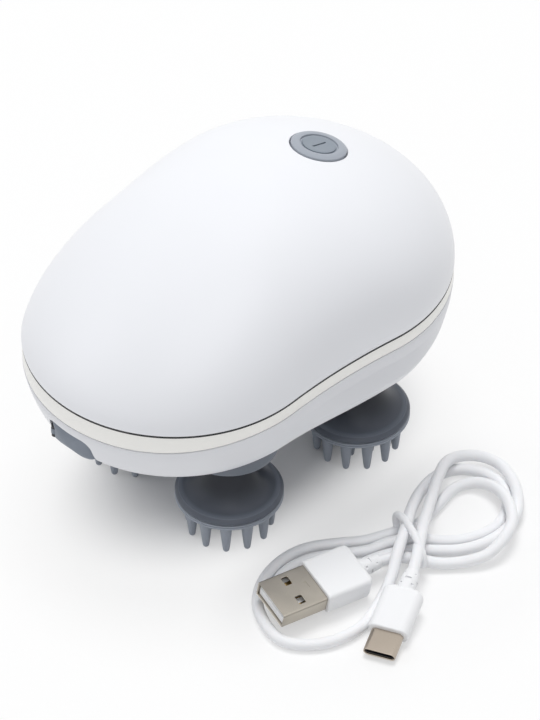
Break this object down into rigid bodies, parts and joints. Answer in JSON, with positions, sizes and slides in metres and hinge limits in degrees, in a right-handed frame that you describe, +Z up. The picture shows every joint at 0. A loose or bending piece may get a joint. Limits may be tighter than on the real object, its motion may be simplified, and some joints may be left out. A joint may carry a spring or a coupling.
{
  "type": "electric scalp massager",
  "caption": "Cordless electric scalp massager: pebble-shaped white body, slanted power button, prong-covered kneading heads underneath, covered charging port and a tied charging lead beside it.",
  "frame": {"origin": "on the table under the middle of the body's outline, prong tips standing on z = 0", "axes": "+Z up, +Y along the body from the charging port towards the power button, +X to the side where the lead lies"},
  "size_m": [0.1219, 0.119, 0.0878],
  "materials": {
    "shell_pearl": "satin pearl white",
    "seal_dark": "black seal",
    "band_cream": "satin cream",
    "shell_lower": "satin white",
    "button_slate": "soft satin slate",
    "board_green": "solder resist",
    "switch_black": "moulded",
    "spring_steel": "drawn steel",
    "frame_black": "moulded",
    "cover_slate": "soft slate rubber",
    "cell_wrap": "shrink sleeve",
    "motor_steel": "plated can",
    "pinion_brass": "cut brass",
    "gear_ivory": "natural acetal",
    "deck_grey": "moulded",
    "bush_brass": "sintered",
    "collar_slate": "satin slate",
    "head_slate": "satin dark slate",
    "pad_silicone": "soft silicone",
    "lead_white": "soft white jacket",
    "plug_white": "satin white",
    "plug_metal": "warm nickel plate",
    "tongue_white": "moulded"
  },
  "bodies": {
    "case": {"top_shell": "shell_pearl", "seam_gasket": "seal_dark", "trim_band": "band_cream", "lower_shell": "shell_lower", "switch_board": "board_green", "power_switch": "switch_black", "main_board": "board_green", "charge_socket": "spring_steel", "port_frame": "frame_black", "cover_pin": "spring_steel", "battery_cell": "cell_wrap", "battery_cradle": "frame_black", "motor_can": "motor_steel", "reduction_axle": "spring_steel", "centre_axle": "spring_steel", "gear_chassis": "frame_black", "gear_deck": "frame_black", "motor_deck": "deck_grey", "case_screws": "spring_steel", "front_right_bush": "bush_brass", "front_right_seal": "seal_dark", "front_right_collar": "collar_slate", "front_left_bush": "bush_brass", "front_left_seal": "seal_dark", "front_left_collar": "collar_slate", "rear_right_bush": "bush_brass", "rear_right_seal": "seal_dark", "rear_right_collar": "collar_slate", "rear_left_bush": "bush_brass", "rear_left_seal": "seal_dark", "rear_left_collar": "collar_slate", "lead_cable": "lead_white", "lead_tie": "lead_white", "wide_plug_shell": "plug_metal", "wide_plug_tongue": "tongue_white", "wide_plug_grip": "plug_white", "small_plug_shell": "plug_metal", "small_plug_grip": "plug_white"},
    "button": {"power_button": "button_slate"},
    "port_flap": {"port_cover": "cover_slate"},
    "centre_train": {"centre_gear": "gear_ivory"},
    "reduction_train": {"reduction_gear": "gear_ivory"},
    "motor_rotor": {"motor_pinion": "pinion_brass"},
    "front_right_tool": {"front_right_spindle": "spring_steel", "front_right_gear": "gear_ivory", "front_right_head": "head_slate", "front_right_pad": "pad_silicone"},
    "front_left_tool": {"front_left_spindle": "spring_steel", "front_left_gear": "gear_ivory", "front_left_head": "head_slate", "front_left_pad": "pad_silicone"},
    "rear_right_tool": {"rear_right_spindle": "spring_steel", "rear_right_gear": "gear_ivory", "rear_right_head": "head_slate", "rear_right_pad": "pad_silicone"},
    "rear_left_tool": {"rear_left_spindle": "spring_steel", "rear_left_gear": "gear_ivory", "rear_left_head": "head_slate", "rear_left_pad": "pad_silicone"}
  },
  "joints": [
    {"name": "front_right_spin", "type": "hinge", "parent": "case", "child": "front_right_tool", "pos_m": [0.01851, -0.02076, 0.02], "axis": [0, 0, 1], "continuous": true},
    {"name": "front_left_spin", "type": "hinge", "parent": "case", "child": "front_left_tool", "pos_m": [-0.01851, -0.02076, 0.02], "axis": [0, 0, 1], "continuous": true},
    {"name": "rear_right_spin", "type": "hinge", "parent": "case", "child": "rear_right_tool", "pos_m": [0.01851, 0.02336, 0.02], "axis": [0, 0, 1], "continuous": true},
    {"name": "rear_left_spin", "type": "hinge", "parent": "case", "child": "rear_left_tool", "pos_m": [-0.01851, 0.02336, 0.02], "axis": [0, 0, 1], "continuous": true},
    {"name": "centre_spin", "type": "hinge", "parent": "case", "child": "centre_train", "pos_m": [0, 0.0013, 0.045], "axis": [0, 0, 1], "continuous": true},
    {"name": "reduction_spin", "type": "hinge", "parent": "case", "child": "reduction_train", "pos_m": [0, 0.0175, 0.048], "axis": [0, 0, 1], "continuous": true},
    {"name": "motor_spin", "type": "hinge", "parent": "case", "child": "motor_rotor", "pos_m": [0, 0.0331, 0.05], "axis": [0, 0, 1], "continuous": true},
    {"name": "button_press", "type": "slide", "parent": "case", "child": "button", "axis": [0, -0.2588, -0.9659], "range_m": [0, 0.0008], "stiffness_N_per_m": 800},
    {"name": "port_cover_hinge", "type": "hinge", "parent": "case", "child": "port_flap", "pos_m": [-0.0046, -0.05737, 0.0391], "axis": [0, 0, -1], "range_deg": [0, 100]}
  ],
  "couplings": [
    {"joint": "front_left_spin", "follows": "front_right_spin", "ratio": 1},
    {"joint": "rear_right_spin", "follows": "front_right_spin", "ratio": 1},
    {"joint": "rear_left_spin", "follows": "front_right_spin", "ratio": 1},
    {"joint": "centre_spin", "follows": "front_right_spin", "ratio": -1},
    {"joint": "reduction_spin", "follows": "front_right_spin", "ratio": 3.5},
    {"joint": "motor_spin", "follows": "front_right_spin", "ratio": -11.667}
  ]
}
